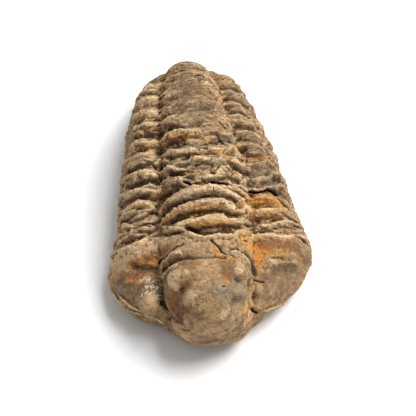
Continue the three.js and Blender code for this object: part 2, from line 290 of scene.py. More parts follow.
# Ridges: where the shell stands up, pale along the top, as wear and a painted highlight. Each
# has its pixels, its half width, its height and how pale it is.
RIDGES = {
    "head, rear edge, left": (
        [(113, 255), (118, 252), (124, 250), (130, 249), (136, 246), (142, 243), (148, 238), (154, 235),
         (160, 231), (166, 228), (173, 228), (180, 229), (188, 232), (193, 235), (198, 237),
         (203, 238)], 0.6, 0.7, 1.0),
    "head, rear edge, middle": ([(206, 238), (212, 237), (218, 235), (226, 236), (231, 236)], 0.5, 0.6, 0.9),
    "head, rear edge, right": (
        [(250, 238), (262, 236), (272, 235), (281, 237), (290, 237), (297, 236), (302, 239)], 0.6, 0.5, 0.8),
    "first ring, right limb": ([(231, 236), (235, 233), (241, 231), (247, 232), (252, 235)], 0.7, 0.5, 0.7),
    "first ring": (
        [(178, 225), (185, 222), (192, 221), (200, 219), (207, 217), (214, 215), (221, 215),
         (226, 218)], 0.7, 0.4, 0.8),
    "first ring, right": ([(228, 219), (236, 220), (243, 220), (249, 223)], 0.7, 0.4, 0.6),
    "second ring": (
        [(161, 226), (164, 221), (168, 217), (173, 212), (179, 208), (186, 205), (195, 202), (205, 200),
         (213, 200), (221, 201), (228, 205), (236, 209), (241, 213), (247, 219)], 0.8, 0.5, 0.8),
    "third ring": (
        [(161, 213), (163, 208), (168, 202), (175, 198), (182, 194), (190, 191), (200, 188), (210, 187),
         (220, 189), (230, 193), (236, 197), (242, 203), (247, 209)], 0.9, 0.5, 0.8),
    "fourth ring, left": (
        [(160, 189), (164, 184), (168, 181), (173, 179), (179, 180), (185, 183)], 0.8, 0.7, 0.8),
    "lip over the crack": ([(190, 182), (196, 180), (203, 178), (209, 177), (216, 176)], 0.8, 0.7, 0.9),
    "lip over the crack, right": ([(228, 183), (234, 186), (240, 187), (247, 190)], 0.6, 0.5, 0.9),
    "fold, middle": (
        [(218, 173), (222, 169), (228, 167), (232, 170), (236, 174), (240, 178)], 0.7, 0.7, 0.9),
    "fold, right": ([(231, 160), (236, 163), (240, 166), (245, 168), (250, 170)], 0.6, 0.8, 0.8),
    "plate, left": ([(152, 165), (156, 163), (160, 161), (166, 161), (170, 162)], 0.6, 0.6, 0.9),
    "plate, lower edge": (
        [(160, 174), (164, 171), (168, 168), (172, 168), (178, 170), (186, 171)], 0.7, 0.7, 0.9),
    "plate, middle": ([(192, 174), (200, 173), (208, 172)], 0.8, 0.3, 0.2),
    "sixth ring, left": (
        [(167, 153), (172, 151), (178, 152), (186, 151), (194, 150), (203, 151)], 0.8, 0.7, 1.0),
    "sixth ring, pale middle": ([(192, 158), (200, 158), (208, 159), (214, 160)], 0.9, 0.4, 0.9),
    "sixth ring, right": (
        [(207, 148), (216, 149), (225, 149), (232, 147), (236, 151), (238, 156)], 0.7, 0.5, 0.3),
    "seventh ring": (
        [(162, 142), (166, 138), (170, 135), (176, 132), (182, 131), (190, 131), (198, 132)], 0.8, 0.7, 0.8),
    "seventh ring, whitish": ([(190, 142), (196, 141), (202, 143)], 0.8, 0.4, 0.8),
    "axis, right side": ([(205, 76), (208, 79), (212, 83), (216, 87), (218, 90)], 0.4, 0.6, 0.9),
    "axis, right side, lower": ([(210, 90), (214, 94), (217, 98)], 0.4, 0.5, 0.8),
    "twelfth ring": (
        [(163, 88), (168, 81), (173, 78), (178, 76), (183, 74), (190, 74), (197, 75), (203, 76),
         (207, 79)], 0.7, 0.5, 0.7),
    "tip": ([(170, 71), (177, 67), (184, 65), (192, 65), (200, 67), (206, 71)], 0.8, 0.4, 0.6),
    "axis, left, rear": ([(161, 98), (165, 94), (168, 91), (171, 89)], 0.5, 0.6, 0.9),
    "axis, left, tenth ring": ([(162, 102), (166, 98), (170, 96)], 0.5, 0.5, 0.7),
    "axis, left, ninth ring": ([(161, 117), (164, 113), (167, 110), (171, 108)], 0.6, 0.5, 0.7),
    "axis, left, eighth ring": ([(162, 125), (166, 121), (170, 118), (175, 117)], 0.6, 0.6, 0.8),
    "left rib 12": ([(147, 87), (152, 85), (158, 84), (163, 81)], 0.7, 0.4, 0.7),
    "left rib 11": ([(139, 95), (143, 92), (149, 90), (156, 91)], 0.7, 0.4, 0.7),
    "left rib 10": ([(136, 106), (141, 103), (147, 99), (153, 98), (158, 99)], 0.7, 0.5, 0.8),
    "left rib 9": ([(133, 118), (138, 115), (144, 112), (151, 112), (157, 113)], 0.8, 0.5, 0.7),
    "left rib 8": ([(131, 132), (137, 128), (144, 125), (151, 125), (157, 126)], 0.8, 0.5, 0.6),
    "left rib 7": ([(131, 147), (136, 143), (142, 141), (150, 143), (155, 141), (160, 144)], 0.8, 0.6, 0.8),
    "left rib 6": ([(127, 161), (133, 158), (140, 156), (147, 154), (153, 152)], 0.8, 0.5, 0.8),
    "left rib 5": (
        [(122, 183), (127, 178), (133, 175), (140, 173), (146, 172), (152, 173), (157, 177)], 0.8, 0.6, 0.9),
    "left rib 4": ([(121, 197), (127, 193), (134, 191), (141, 190), (149, 191), (156, 192)], 0.8, 0.5, 0.8),
    "left rib 3": ([(120, 213), (126, 211), (133, 206), (139, 203), (146, 205), (154, 208)], 0.8, 0.5, 0.8),
    "left rib 2": ([(121, 218), (127, 214), (134, 212), (142, 211), (149, 212)], 0.7, 0.4, 0.9),
    "left rib 1": ([(121, 226), (128, 225), (134, 228), (142, 227), (149, 226), (155, 228)], 0.7, 0.5, 0.8),
    "left rib 0": ([(119, 236), (126, 233), (133, 232), (139, 235), (147, 235)], 0.6, 0.4, 0.6),
    "right rib 12": ([(219, 82), (226, 81), (233, 84), (240, 89)], 0.7, 0.4, 0.6),
    "right rib 11": ([(222, 93), (229, 92), (236, 94), (243, 98)], 0.7, 0.4, 0.7),
    "right rib 10": ([(224, 105), (232, 103), (240, 105), (248, 109)], 0.8, 0.5, 0.8),
    "right rib 9": ([(231, 117), (238, 115), (245, 117), (253, 121)], 0.8, 0.5, 0.8),
    "right rib 8": ([(233, 122), (240, 121), (248, 122), (256, 125)], 0.6, 0.4, 0.9),
    "right rib 7": ([(238, 133), (246, 132), (254, 132), (262, 135)], 0.8, 0.5, 0.8),
    "right rib 6": ([(240, 145), (248, 143), (256, 144), (264, 147), (269, 151)], 0.8, 0.5, 0.7),
    "right rib 5": ([(243, 165), (250, 165), (258, 165), (264, 162), (268, 160), (274, 162)], 0.7, 0.6, 0.8),
    "right rib 4": (
        [(245, 178), (251, 181), (258, 180), (264, 179), (270, 177), (273, 173), (280, 174)], 0.6, 0.7, 0.9),
    "right rib 4, lower lip": (
        [(250, 190), (258, 190), (265, 188), (272, 187), (279, 186), (286, 192)], 0.6, 0.6, 0.8),
    "right rib 2": (
        [(243, 209), (250, 210), (257, 211), (266, 210), (276, 209), (286, 210), (292, 214)], 0.7, 0.5, 0.8),
    "right rib 1": (
        [(258, 228), (264, 226), (271, 225), (280, 223), (287, 221), (294, 222), (301, 226)], 0.6, 0.5, 0.8),
    "right rib 0": ([(256, 232), (264, 231), (272, 230), (281, 231), (290, 233)], 0.6, 0.4, 0.8),
    "left cheek, rim": (
        [(112, 292), (118, 299), (125, 306), (132, 312), (140, 317), (148, 321), (153, 323)], 0.5, 0.5, 0.7),
    "left cheek, second rim": (
        [(121, 297), (127, 303), (134, 309), (142, 314), (150, 318), (157, 321), (163, 325)], 0.5, 0.4, 0.9),
    "right cheek, rim": (
        [(301, 287), (296, 293), (289, 299), (281, 304), (272, 308), (264, 311)], 0.5, 0.4, 0.6),
    "right cheek, inner fold": (
        [(268, 268), (274, 264), (281, 262), (290, 262), (298, 265)], 0.9, 0.25, 0.5),
    "left lobe, bright rim": ([(164, 278), (166, 274), (170, 270), (175, 267), (178, 265)], 0.5, 0.6, 1.0),
    "neck, left strip": ([(161, 268), (164, 262), (169, 258), (175, 255), (182, 253)], 0.7, 0.5, 0.7),
    "neck, right strip": ([(232, 253), (239, 254), (245, 258), (249, 264)], 0.6, 0.5, 0.9),
    "head, left facet": ([(160, 233), (158, 240), (157, 247), (156, 252)], 0.6, 0.4, 0.6),
}
for pixels, width, height, pale in RIDGES.values():
    raise_along(pixels, 1.25 * width * MM, 1.05 * height * MM, rough=0.5, lean=0.5)
    # The pale along each top is wear and a painted highlight.
    paint_along("pale", pixels, 0.5 * width * MM, 1.15 * pale)

# Furrows and hollows: broad, painted brown, as stain and painted shade. Each has its pixels, half width,
# depth and stain.
FURROWS = {
    "third ring, flank": (
        [(168, 209), (174, 206), (182, 204), (190, 202), (200, 199), (210, 197), (220, 196), (228, 198),
         (235, 203), (240, 207)], 0.9, 0.3, 1.0),
    "second ring, flank": (
        [(178, 217), (184, 215), (192, 214), (200, 213), (208, 212), (216, 211), (222, 212)], 0.8, 0.5, 1.0),
    "second ring, flank, right": ([(226, 214), (231, 216), (236, 217)], 0.6, 0.3, 0.8),
    "before the first ring, left": (
        [(168, 227), (172, 224), (177, 221), (183, 219), (190, 219)], 0.7, 0.5, 1.0),
    "first ring, flank": ([(202, 228), (212, 228), (222, 227), (232, 227), (240, 228)], 0.7, 0.3, 1.0),
    "between head and rings": (
        [(189, 229), (195, 231), (201, 234), (208, 233), (216, 232), (224, 231), (232, 232)], 1.0, 1.5, 1.0),
    "behind the head's left edge": (
        [(122, 243), (130, 243), (138, 241), (146, 236), (152, 232), (159, 228)], 0.8, 0.6, 0.5),
    "left furrow, fourth ring": (
        [(158, 207), (162, 201), (166, 197), (171, 193), (178, 189)], 0.9, 0.6, 1.0),
    "left furrow, third ring": ([(154, 225), (159, 222), (164, 217)], 0.7, 0.7, 0.9),
    "fourth ring, flank": ([(172, 187), (178, 186), (184, 187)], 0.8, 0.3, 0.9),
    "under the plate": ([(172, 174), (180, 175), (187, 176), (193, 179)], 0.9, 0.6, 1.0),
    "under the sixth ring": ([(168, 158), (175, 158), (183, 156), (190, 157)], 0.6, 0.5, 0.9),
    "dark slit": ([(196, 166), (202, 164), (208, 164), (213, 166)], 0.5, 0.5, 0.9),
    "seventh ring, flank": ([(167, 147), (172, 144), (178, 142), (184, 141)], 0.7, 0.4, 0.9),
    "behind the seventh ring": ([(168, 131), (173, 128), (178, 127), (185, 129)], 0.8, 0.6, 0.9),
    "axis, right, seventh ring": ([(212, 133), (218, 134), (224, 137), (230, 140)], 0.9, 0.4, 0.9),
    "under the folds": ([(230, 166), (236, 170), (242, 173), (249, 174)], 0.7, 0.8, 1.0),
    "under the middle fold": ([(222, 179), (228, 178), (234, 180), (239, 183)], 0.6, 0.6, 1.0),
    "right rib 5, flank": ([(257, 168), (264, 167), (272, 167), (279, 169)], 0.9, 0.4, 0.7),
    "right rib 4, flank": ([(262, 183), (269, 182), (277, 182), (284, 186)], 0.8, 0.4, 0.8),
    "right rib 6, flank": ([(240, 153), (248, 155), (256, 156), (264, 154)], 0.8, 0.5, 0.8),
    "right rib 7, flank": ([(236, 139), (244, 140), (252, 141), (261, 142)], 0.7, 0.5, 0.9),
    "right rib 8, flank": ([(236, 127), (245, 128), (254, 129), (262, 132)], 0.8, 0.5, 1.0),
    "right rib 9, flank": ([(231, 112), (239, 111), (247, 114), (254, 118)], 0.6, 0.5, 0.9),
    "right rib 10, flank": ([(224, 99), (231, 99), (238, 100), (245, 104), (250, 108)], 0.6, 0.5, 0.8),
    "right rib 11, flank": ([(219, 88), (226, 88), (233, 89), (240, 93), (245, 97)], 0.6, 0.5, 0.9),
    "right rib 12, flank": ([(230, 80), (236, 83), (241, 87)], 0.5, 0.4, 0.8),
    "right rib 1, flank": ([(278, 226), (285, 227), (292, 227), (300, 231)], 0.7, 0.6, 1.0),
    "right rib 2, corner": ([(284, 213), (290, 218), (296, 222), (302, 225)], 0.7, 0.5, 1.0),
    "left rib 11, flank": ([(148, 95), (154, 94), (159, 92)], 0.7, 0.4, 0.7),
    "left rib 10, flank": ([(141, 110), (147, 108), (153, 105)], 0.5, 0.4, 0.7),
    "left rib 9, flank": ([(138, 124), (144, 122), (150, 120), (157, 121)], 0.5, 0.6, 0.9),
    "left rib 8, flank": ([(136, 139), (142, 137), (149, 134), (154, 136)], 0.8, 0.5, 0.9),
    "left rib 7, flank": ([(131, 154), (137, 152), (144, 149), (152, 149)], 0.8, 0.3, 0.5),
    "left rib 6, flank": ([(128, 171), (134, 170), (140, 167), (147, 165), (153, 163)], 0.9, 0.7, 1.0),
    "left rib 5, flank": (
        [(125, 186), (131, 187), (138, 184), (146, 182), (153, 181), (158, 182)], 0.8, 0.6, 1.0),
    "left rib 4, flank": ([(121, 206), (127, 202), (134, 200), (141, 199), (149, 196)], 1.0, 0.5, 1.0),
    "left rib 3, flank": (
        [(122, 222), (130, 222), (137, 220), (144, 217), (152, 214), (157, 216)], 0.8, 0.5, 1.0),
    "left rib 1, flank": ([(134, 233), (142, 232), (150, 232), (156, 230)], 0.6, 0.5, 0.8),
    "neck furrow": (
        [(164, 270), (170, 264), (177, 260), (186, 258), (196, 258), (206, 257), (216, 256),
         (226, 257)], 1.0, 0.8, 0.7),
    "behind the right neck strip": ([(231, 251), (238, 251), (245, 254), (250, 260)], 0.7, 0.5, 0.8),
    "left cheek furrow": ([(136, 268), (143, 268), (151, 267), (157, 269)], 0.8, 0.3, 0.3),
    "left axial furrow, head": (
        [(159, 262), (158, 270), (160, 279), (161, 288), (161, 296), (162, 304)], 0.9, 0.2, 0.25),
    "left axial furrow, front": ([(163, 304), (168, 310), (172, 317), (177, 322)], 0.8, 0.7, 0.6),
    "right axial furrow, head": ([(250, 262), (253, 269), (255, 275)], 0.9, 0.7, 0.9),
    "right axial furrow, front": (
        [(249, 281), (249, 290), (249, 299), (250, 307), (255, 312), (260, 314)], 0.8, 0.9, 0.6),
    "right cheek valley": ([(262, 277), (270, 274), (279, 271), (288, 268), (296, 268)], 1.5, 0.35, 0.35),
    "between the rims, left": ([(124, 305), (131, 311), (139, 316), (147, 319), (155, 323)], 0.4, 0.4, 0.6),
    "under the right edge": ([(272, 258), (279, 258), (286, 261)], 0.4, 0.4, 0.6),
    "snout, lower lip": ([(190, 331), (184, 330), (178, 329)], 0.5, 0.3, 0.5),
}
for pixels, width, depth, stain in FURROWS.values():
    raise_along(pixels, 0.9 * width * MM, -0.65 * depth * MM)
    # Brown along the furrow: stain and painted shade.
    paint_along("brown", pixels, 0.75 * width * MM, stain)

# Cracks: the shell split as it was pressed into the mud, and again as the stone was freed. They
# are narrow and deep, and painted black inside as shade. Each has its pixels, its half width and its depth.
CRACKS = {
    "above the third ring": (
        [(184, 182), (188, 183), (192, 186), (200, 186), (206, 185), (212, 183), (218, 184), (224, 185),
         (230, 188), (236, 191), (241, 194), (247, 197)], 0.6, 1.8),
    "above the third ring, right": ([(249, 192), (256, 193), (262, 192), (268, 190)], 0.5, 1.5),
    "above it, far right": ([(268, 190), (274, 193), (280, 199), (286, 206), (291, 212)], 0.6, 1.2),
    "right wall": ([(301, 226), (303, 232), (305, 238), (309, 245), (311, 251)], 0.5, 1.0),
    "left of the neck": ([(183, 244), (178, 247), (173, 250), (170, 254)], 0.45, 0.9),
    "left of the neck, lower": ([(168, 255), (165, 258), (160, 261), (158, 264)], 0.45, 0.9),
    "right of the neck": (
        [(211, 240), (215, 243), (219, 247), (222, 252), (226, 254), (231, 255), (235, 257), (240, 261),
         (244, 266), (248, 272), (250, 278)], 0.4, 0.9),
    "right axial furrow": ([(251, 279), (255, 280), (260, 281), (264, 282)], 0.5, 1.0),
    "first gap": ([(190, 230), (196, 232), (202, 234)], 0.5, 0.6),
    "hole": ([(199, 149), (203, 148), (207, 148)], 0.8, 1.8),
    "hole, right": ([(245, 224), (250, 227), (254, 224)], 0.5, 1.2),
    "beside the plate": ([(153, 172), (158, 177), (161, 181), (164, 183)], 0.35, 0.7),
    "plate, notch": ([(162, 172), (165, 169), (168, 165)], 0.4, 0.8),
    "plate, lower left": ([(152, 165), (155, 168), (157, 170)], 0.4, 0.7),
    "pit, middle": ([(210, 171), (213, 173), (215, 174)], 0.6, 1.0),
    "pit, left axis, rear": ([(158, 100), (161, 99), (165, 96)], 0.45, 1.2),
    "pit, left axis, tip": ([(160, 90), (162, 88)], 0.4, 0.9),
    "pit, left axis, ninth": ([(159, 113), (161, 112)], 0.5, 1.0),
    "slit, left axis, ninth": ([(160, 123), (164, 120), (168, 116), (172, 114)], 0.4, 0.8),
    "slit, left axis, eighth": ([(157, 127), (160, 126), (164, 124)], 0.4, 0.9),
    "slit, left axis, seventh": ([(160, 140), (164, 137), (168, 133)], 0.5, 0.9),
    "pit, right axis, tip": ([(214, 83), (217, 86)], 0.45, 1.0),
    "slit, right axis, tip": ([(207, 76), (210, 79)], 0.4, 0.7),
    "pit, right axis, rear": ([(218, 96), (220, 97)], 0.5, 1.1),
    "pit, right axis, ninth": ([(224, 107), (226, 107)], 0.5, 0.7),
    "pit, right axis, eighth": ([(228, 121), (229, 122)], 0.45, 0.9),
    "slit, right axis, tenth": ([(211, 90), (214, 93), (217, 96)], 0.35, 0.7),
    "tip": ([(180, 70), (184, 72)], 0.4, 0.6),
    "tip, arc": ([(164, 79), (168, 77), (172, 75), (176, 73), (180, 71)], 0.4, 0.5),
    "tip, arc, right": ([(195, 76), (199, 76), (204, 78)], 0.4, 0.6),
    "right axis, sixth": ([(234, 148), (237, 150)], 0.45, 0.8),
    "right axis, seventh": ([(220, 141), (224, 144)], 0.4, 0.6),
    "right axis, lines": ([(219, 121), (223, 125), (227, 129)], 0.3, 0.5),
    "right axis, lines, second": ([(222, 119), (226, 123), (230, 127)], 0.3, 0.5),
    "left rib 9, slit": ([(138, 124), (142, 123)], 0.35, 0.5),
    "left rib 1, slit": ([(140, 226), (148, 224), (155, 224)], 0.35, 0.5),
    "neck pit": ([(244, 241), (247, 243)], 0.45, 0.8),
    "dot on the brow": ([(223, 286), (225, 286)], 0.45, 0.7),
    "dot, lower": ([(236, 320), (236, 321)], 0.4, 0.4),
    "dark pit beside the left eye": ([(161, 301), (162, 306)], 0.4, 0.3),
    "notch, right cheek": ([(252, 309), (256, 312), (260, 314)], 0.45, 0.6),
    "dot, left of the snout": ([(173, 327), (174, 327)], 0.35, 0.4),
    "third ring, joint": ([(213, 189), (214, 192)], 0.3, 0.3),
    "line on the right ribs": ([(256, 209), (264, 209), (272, 208)], 0.35, 0.5),
}
for pixels, width, depth in CRACKS.values():
    raise_along(pixels, 0.75 * width * MM, -0.9 * depth * MM, sharpness=0.8)
    # Black along the crack: painted shade.
    paint_along("black_shade", pixels, 0.45 * width * MM, 1.2)

# The flat spot underneath stays as it is.
SPOT_FADE = 0.6 * MM
points += (lift * np.clip(start[:, 2] / SPOT_FADE, 0, 1))[:, None] * outwards
points[:, 2] = np.maximum(points[:, 2], 0)
stone.data.vertices.foreach_set("co", points.astype(np.float32).ravel())
stone.data.update()

# Stains: pale washes and dark films; grey where the shell has gone; iron, from yellow ochre through
# orange to rust; and rubbed, brown and crystal spots, and black spots of painted shade in furrows.
# Each has its pixels, its radius in millimetres and how strong it is.
WASHES = {
    "rear corner": ([(114, 262), (120, 258), (128, 255), (136, 252)], 2.4, 1.2),
    # Painted light: paler over the left ribs, the side that the window leaves darker.
    "left ribs": ([(137, 150), (142, 168), (138, 188), (137, 206), (132, 226)], 3.4, 0.6),
    "front rings": ([(186, 194), (206, 196), (226, 208), (200, 214)], 3.6, 1.1),
    "left rear": ([(122, 256), (134, 252), (146, 248), (154, 246)], 3.2, 1.5),
    "neck ring": ([(184, 238), (192, 246), (182, 244)], 2.0, 0.4),
    "neck strip": ([(220, 242), (230, 244), (238, 256)], 2.4, 0.35),
    "right corner": ([(292, 240), (300, 246), (306, 250)], 2.4, 0.4),
    "left eye, pale": ([(148, 301), (152, 304)], 1.5, 0.7),
    "rear lobe": ([(174, 276), (180, 280)], 1.6, 0.7),
    "glabella, tan": ([(202, 262), (206, 268), (206, 276)], 1.8, 0.5),
    "glabella, grey, lower": ([(230, 308), (236, 312), (234, 318)], 1.6, 0.5),
    "snout": ([(188, 328), (204, 332), (224, 332)], 2.4, 0.5),
}
FILMS = {
    "glabella": ([(226, 266), (230, 272), (232, 280)], 2.2, 0.5),
    "glabella, thin": ([(190, 270), (206, 284), (214, 300), (226, 316), (204, 322)], 3.8, 0.4),
    "front lobe": ([(196, 340), (208, 342), (220, 340)], 1.6, 0.5),
    "left cheek": ([(128, 280), (138, 284), (148, 282)], 2.4, 0.6),
    "right cheek": ([(266, 280), (280, 276), (294, 270), (282, 286)], 3.4, 0.85),
    "rear axis": ([(184, 70), (180, 84), (200, 90), (190, 104), (208, 104), (196, 114)], 3.4, 0.65),
    "rear ribs": ([(236, 90), (242, 104), (248, 120)], 3.2, 0.6),
    "right ribs": ([(258, 138), (264, 156), (270, 176), (282, 196)], 3.4, 0.8),
    "right ribs, brown": ([(252, 170), (262, 168), (272, 166)], 1.6, 0.7),
    "head, rear, tan": ([(146, 252), (152, 246), (157, 240)], 1.2, 0.35),
    "left cheek, mauve": ([(116, 287), (124, 292), (134, 294)], 1.0, 0.4),
    "glabella, grey": ([(232, 290), (240, 294)], 1.8, 0.6),
    "right corner, grey": ([(298, 248), (304, 254), (308, 252)], 1.8, 0.8),
}
GREY = {
    "left rib 4": ([(137, 187), (146, 188), (155, 188)], 0.8, 0.9),
    "left rib 5": ([(146, 184), (154, 184)], 0.8, 0.7),
    "right rib 8, mauve": ([(242, 125), (248, 126)], 0.7, 0.5),
    "right rib 6": ([(246, 150), (256, 149), (264, 151)], 1.0, 0.8),
    "right rib 5": ([(258, 168), (266, 166), (274, 167), (279, 171)], 1.1, 1.0),
    "right rib 4": ([(251, 175), (260, 175), (268, 175)], 0.9, 0.9),
    "right rib 4, olive": ([(266, 181), (274, 179), (281, 182)], 0.9, 0.7),
    "right rib 3": ([(250, 186), (258, 187), (268, 186), (276, 187)], 0.8, 0.8),
    "axis, seventh": ([(206, 136), (214, 139), (224, 141), (232, 143)], 1.2, 0.9),
    "axis, sixth": ([(180, 146), (188, 146), (196, 146)], 0.9, 0.8),
    "axis, middle": ([(178, 161), (186, 161), (194, 163), (206, 168)], 0.9, 0.9),
    "axis, right": ([(214, 159), (220, 161), (219, 172)], 0.9, 0.8),
    "band behind the seventh ring": ([(178, 130), (186, 130)], 0.6, 0.8),
    "third ring": ([(180, 200), (190, 196), (212, 195)], 0.8, 0.5),
    "left cheek": ([(118, 291), (126, 291), (134, 291), (142, 292)], 1.4, 0.55),
    "middle lobe, mauve": ([(185, 302), (192, 301), (198, 299)], 1.2, 0.7),
    "glabella, mauve": ([(222, 268), (224, 272), (230, 268)], 0.8, 0.8),
    "glabella": ([(228, 292), (236, 290), (242, 288), (236, 296)], 2.2, 1.1),
    "snout, mauve": ([(200, 338), (206, 338), (212, 338)], 0.8, 0.7),
    "right cheek, top": ([(268, 241), (276, 240)], 0.9, 0.5),
    "neck, mauve": ([(202, 256), (208, 254), (214, 255)], 0.8, 1.2),
    "neck, greenish": ([(190, 250), (198, 248), (206, 245)], 1.4, 0.5),
}
OCHRE = {
    "right pleura, bright": ([(264, 195), (270, 196)], 0.9, 0.6),
    "third ring": ([(238, 199), (242, 202), (246, 205)], 0.8, 0.7),
    "first ring, yellow": ([(190, 224), (197, 223), (204, 222)], 0.9, 0.8),
    "between the rings, yellow": ([(184, 218), (190, 217), (196, 218)], 0.5, 0.7),
    "left rib 3, yellow": ([(131, 206), (137, 204), (143, 204)], 0.9, 1.0),
    "left rib 4, orange": ([(151, 195), (155, 199), (152, 202)], 1.0, 0.6),
    "left rib 2, olive": ([(134, 217), (140, 215)], 0.9, 0.5),
    "left rib 6": ([(134, 157), (141, 154), (149, 152)], 0.7, 0.6),
    "seventh ring, yellow grains": ([(184, 140), (188, 139), (192, 139)], 0.7, 0.9),
    "axis, yellow grains": ([(208, 138), (212, 136), (208, 143)], 0.8, 0.7),
    "olive fold": ([(220, 152), (226, 156), (231, 158)], 0.9, 0.7),
    "right rib 5, yellow": ([(252, 160), (258, 161), (263, 160)], 0.7, 0.9),
    "right rib 8, spot": ([(232, 122), (235, 122)], 0.7, 1.0),
    "right rib 10": ([(224, 97), (221, 100)], 0.7, 0.8),
    "left axis, rear": ([(163, 84), (167, 81), (169, 79)], 0.8, 0.8),
    "left axis, tenth": ([(158, 97), (162, 95), (167, 92)], 0.8, 0.8),
    "left axis, eighth": ([(166, 121), (170, 119)], 0.8, 0.6),
    "tip": ([(183, 68), (186, 67)], 0.7, 0.5),
    "ochre streak": ([(210, 296), (203, 316), (206, 326)], 1.0, 0.35),
    "orange line, yellow": ([(246, 306), (245, 312)], 0.7, 0.8),
    "right cheek": ([(266, 256), (272, 254), (280, 252), (288, 253)], 1.0, 0.6),
    "neck": ([(206, 251), (212, 249)], 1.0, 0.5),
}
ORANGE = {
    "right pleura": ([(252, 200), (258, 199), (264, 197), (270, 196), (276, 199), (281, 204)], 1.7, 1.0),
    "right pleura, lower": ([(250, 206), (256, 206), (262, 206)], 1.0, 0.8),
    "right rib 2": ([(256, 215), (264, 214), (272, 213)], 1.0, 0.7),
    "second ring, band": (
        [(172, 216), (178, 213), (186, 212), (194, 211), (202, 209), (210, 208), (218, 208), (226, 210),
         (234, 213), (241, 217)], 0.8, 0.9),
    "second ring, left limb": ([(172, 215), (168, 220), (164, 226)], 0.9, 1.0),
    "third ring, right limb": ([(232, 196), (238, 200), (243, 206), (248, 212)], 0.9, 0.9),
    "first ring, band": ([(188, 226), (196, 225), (204, 224), (212, 224), (220, 224), (230, 223)], 0.8, 0.8),
    "gap, grains": ([(196, 233), (204, 235), (212, 234), (220, 232), (228, 231)], 0.8, 0.7),
    "left rib 3": ([(136, 207), (140, 205)], 0.7, 0.5),
    "left rib 5": ([(149, 177), (154, 178)], 0.7, 0.4),
    "left rib 7, top": ([(140, 146), (148, 147), (156, 146)], 0.7, 0.5),
    "seventh ring": ([(162, 145), (166, 142), (171, 138), (177, 136), (184, 135)], 0.9, 0.9),
    "sixth ring, flesh": ([(194, 160), (202, 159), (209, 160)], 0.8, 0.45),
    "right rib 6, spot": ([(238, 149), (241, 149)], 0.7, 1.2),
    "right rib 5, spots": ([(256, 157), (262, 158), (268, 157)], 0.9, 1.1),
    "left cheek": (
        [(134, 266), (142, 262), (151, 261), (157, 262), (155, 272), (146, 274), (138, 274)], 1.2, 0.8),
    "left cheek, streak": ([(129, 279), (134, 281), (139, 284), (144, 287)], 0.7, 1.1),
    "left hollow": ([(174, 316), (175, 319)], 0.6, 1.1),
    "glabella, dot": ([(227, 282), (228, 282)], 0.6, 1.0),
    "snout": ([(208, 334), (212, 334)], 0.7, 0.5),
    "orange line": ([(249, 292), (248, 300), (248, 308), (247, 316), (248, 322)], 0.7, 0.65),
    "right cheek": ([(252, 241), (258, 243), (254, 249), (261, 249), (270, 250)], 0.9, 0.9),
    "right cheek, crease": ([(243, 239), (246, 245), (250, 252)], 1.2, 0.8),
    "right cheek, lower": ([(254, 254), (259, 258), (260, 264)], 1.0, 0.9),
    "neck": ([(216, 252), (220, 255), (226, 258), (232, 259)], 0.7, 0.8),
    "right furrow": ([(257, 265), (258, 270), (259, 276)], 0.6, 1.1),
}
RUST = {
    "right rib 2, spot": ([(278, 214), (284, 215)], 1.2, 0.9),
    "right rib 2": ([(258, 219), (268, 219), (278, 219)], 0.8, 0.6),
    "right rib 1": ([(254, 224), (262, 223)], 0.9, 0.6),
    "first ring": ([(208, 226), (216, 226), (224, 225)], 0.6, 0.7),
    "third ring, flank, brown": ([(186, 200), (196, 198), (206, 195)], 0.8, 0.4),
    "left rib 5": ([(139, 178), (143, 180)], 0.8, 0.8),
    "left rib 7, orange": ([(138, 148), (144, 148), (150, 148), (157, 147)], 0.9, 0.9),
    "seventh ring": ([(168, 141), (175, 139), (182, 137)], 0.7, 0.8),
    "seventh ring, right": ([(194, 135), (199, 134)], 0.7, 0.8),
    "reddish line": ([(190, 156), (198, 155), (206, 154), (214, 154)], 0.5, 0.9),
    "lip, flesh": ([(198, 181), (206, 180), (214, 179)], 0.5, 0.6),
    "right rib 7": ([(238, 137), (244, 137), (251, 137)], 0.7, 0.7),
    "right rib 9": ([(224, 109), (229, 108), (234, 110), (242, 111)], 0.6, 0.7),
    "right rib 11": ([(220, 86), (226, 88), (230, 88)], 0.7, 0.7),
    "left axis": ([(156, 108), (160, 107), (164, 104)], 0.9, 0.6),
    "left axis, eighth": ([(156, 127), (159, 126)], 0.6, 1.0),
    "left rib 8": ([(146, 138), (152, 137)], 0.6, 0.6),
    "head, rear, brown": ([(148, 258), (156, 256), (163, 252), (168, 249)], 1.1, 0.8),
    "left cheek": ([(122, 276), (129, 276), (136, 277), (143, 278)], 1.2, 0.9),
    "left rim, red": ([(124, 300), (129, 306), (134, 311)], 0.6, 0.6),
    "left hollow": ([(178, 290), (176, 297), (173, 304), (174, 311), (180, 309), (186, 308)], 1.5, 1.1),
    "left hollow, arc": ([(182, 290), (187, 286), (190, 283)], 1.1, 0.8),
    "glabella, orange": ([(224, 265), (228, 271), (227, 278)], 1.2, 0.75),
    "glabella, brown": ([(184, 264), (188, 266), (193, 262)], 1.4, 0.6),
    "glabella, brown, left": ([(186, 284), (190, 280)], 1.3, 0.4),
    "snout, right": ([(251, 320), (253, 324)], 0.9, 0.5),
    "right cheek, brown band": ([(262, 245), (272, 244), (280, 243), (288, 243), (298, 247)], 1.0, 1.1),
    "neck": ([(180, 259), (188, 257), (196, 258)], 1.1, 0.8),
    "right eye, flesh": ([(256, 286), (262, 289), (257, 294)], 1.4, 0.35),
    "right corner": ([(304, 261), (306, 258)], 0.9, 0.6),
}
